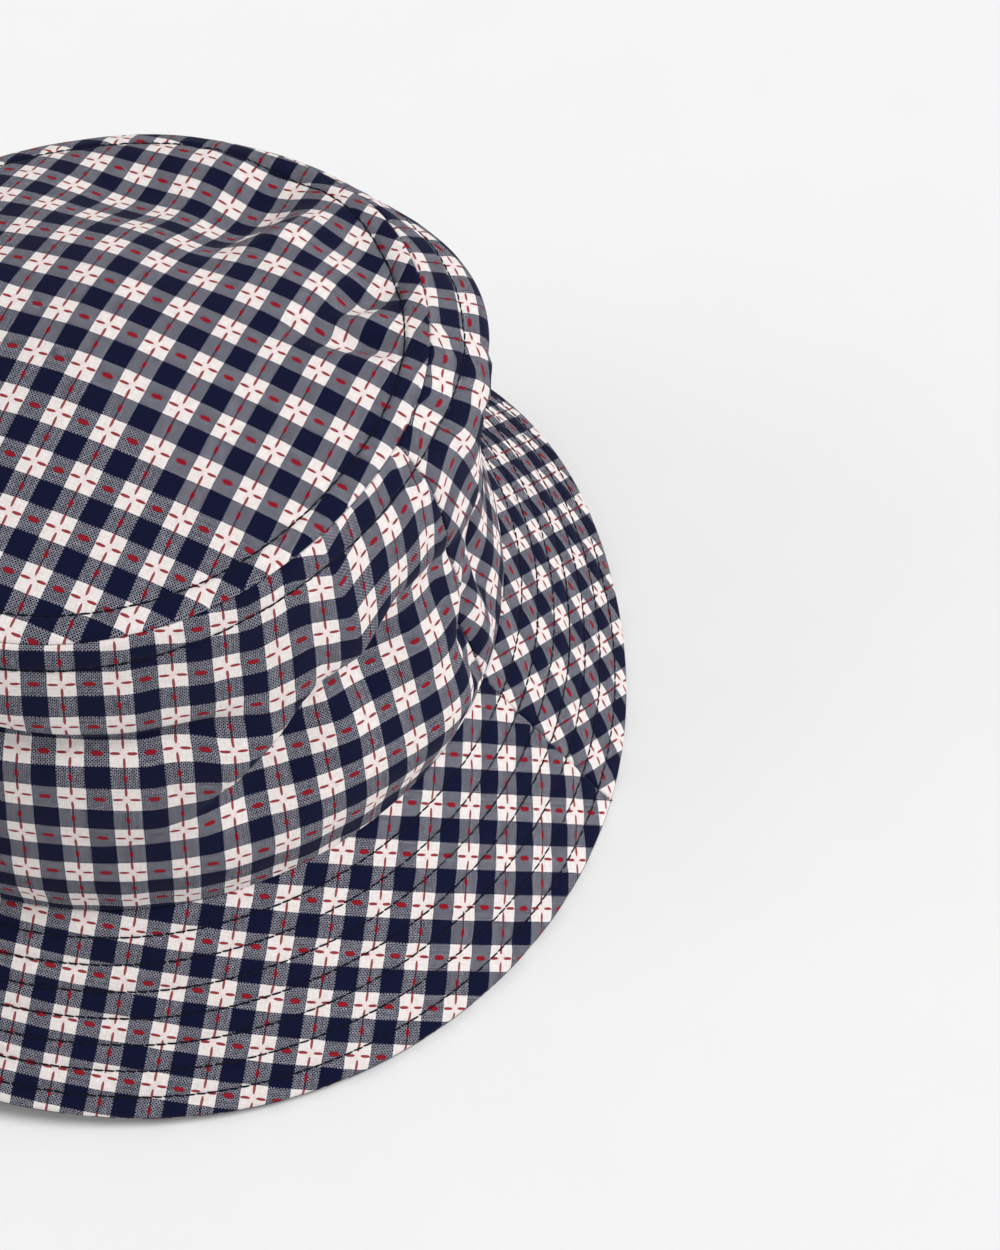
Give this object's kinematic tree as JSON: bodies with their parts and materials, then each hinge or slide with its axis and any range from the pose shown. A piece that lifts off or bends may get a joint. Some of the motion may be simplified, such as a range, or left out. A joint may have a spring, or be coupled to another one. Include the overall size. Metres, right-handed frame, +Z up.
{
  "type": "bucket hat",
  "caption": "Soft cotton bucket hat in a yarn-dyed check: oval tip, upright crown band and a downward sloping brim with concentric stitching.",
  "frame": {"origin": "middle of the plane the brim edge rests on", "axes": "+Z up out of the tip, -Y out of the front of the hat, side seams at +X and -X"},
  "size_m": [0.255, 0.262, 0.1398],
  "materials": {
    "check_cotton": "navy and cream yarn-dyed check with small red woven dashes",
    "under_cotton": "the same check on the under side of the brim",
    "interlining": "stiff undyed cotton",
    "interfacing": "white fusible interfacing",
    "lining_cotton": "plain navy cotton poplin",
    "sweatband_twill": "navy cotton twill",
    "label_satin": "blank woven satin",
    "sewing_thread": "dark navy spun thread"
  },
  "bodies": {
    "root": {"crown_tip": "check_cotton", "crown_band_front": "check_cotton", "crown_band_back": "check_cotton", "brim_upper_front": "check_cotton", "brim_upper_back": "check_cotton", "brim_under_front": "under_cotton", "brim_under_back": "under_cotton", "brim_interlining_front": "interlining", "brim_interlining_back": "interlining", "crown_tip_interfacing": "interfacing", "crown_band_interfacing_front": "interfacing", "crown_band_interfacing_back": "interfacing", "lining_tip": "lining_cotton", "lining_band_front": "lining_cotton", "lining_band_back": "lining_cotton", "sweatband": "sweatband_twill", "size_label": "label_satin", "thread_tip_row": "sewing_thread", "thread_band_row": "sewing_thread", "thread_brim_row_1": "sewing_thread", "thread_brim_row_2": "sewing_thread", "thread_brim_row_3": "sewing_thread", "thread_brim_row_4": "sewing_thread", "thread_brim_row_5": "sewing_thread", "thread_brim_row_6": "sewing_thread", "thread_brim_row_7": "sewing_thread", "thread_sweatband_row": "sewing_thread"},
    "care_label": {"care_label": "label_satin"}
  },
  "joints": [
    {"name": "care_label_swing", "type": "hinge", "parent": "root", "child": "care_label", "pos_m": [-0.0844, 0, 0.06965], "axis": [0, -1, 0], "range_deg": [-3, 100]}
  ]
}
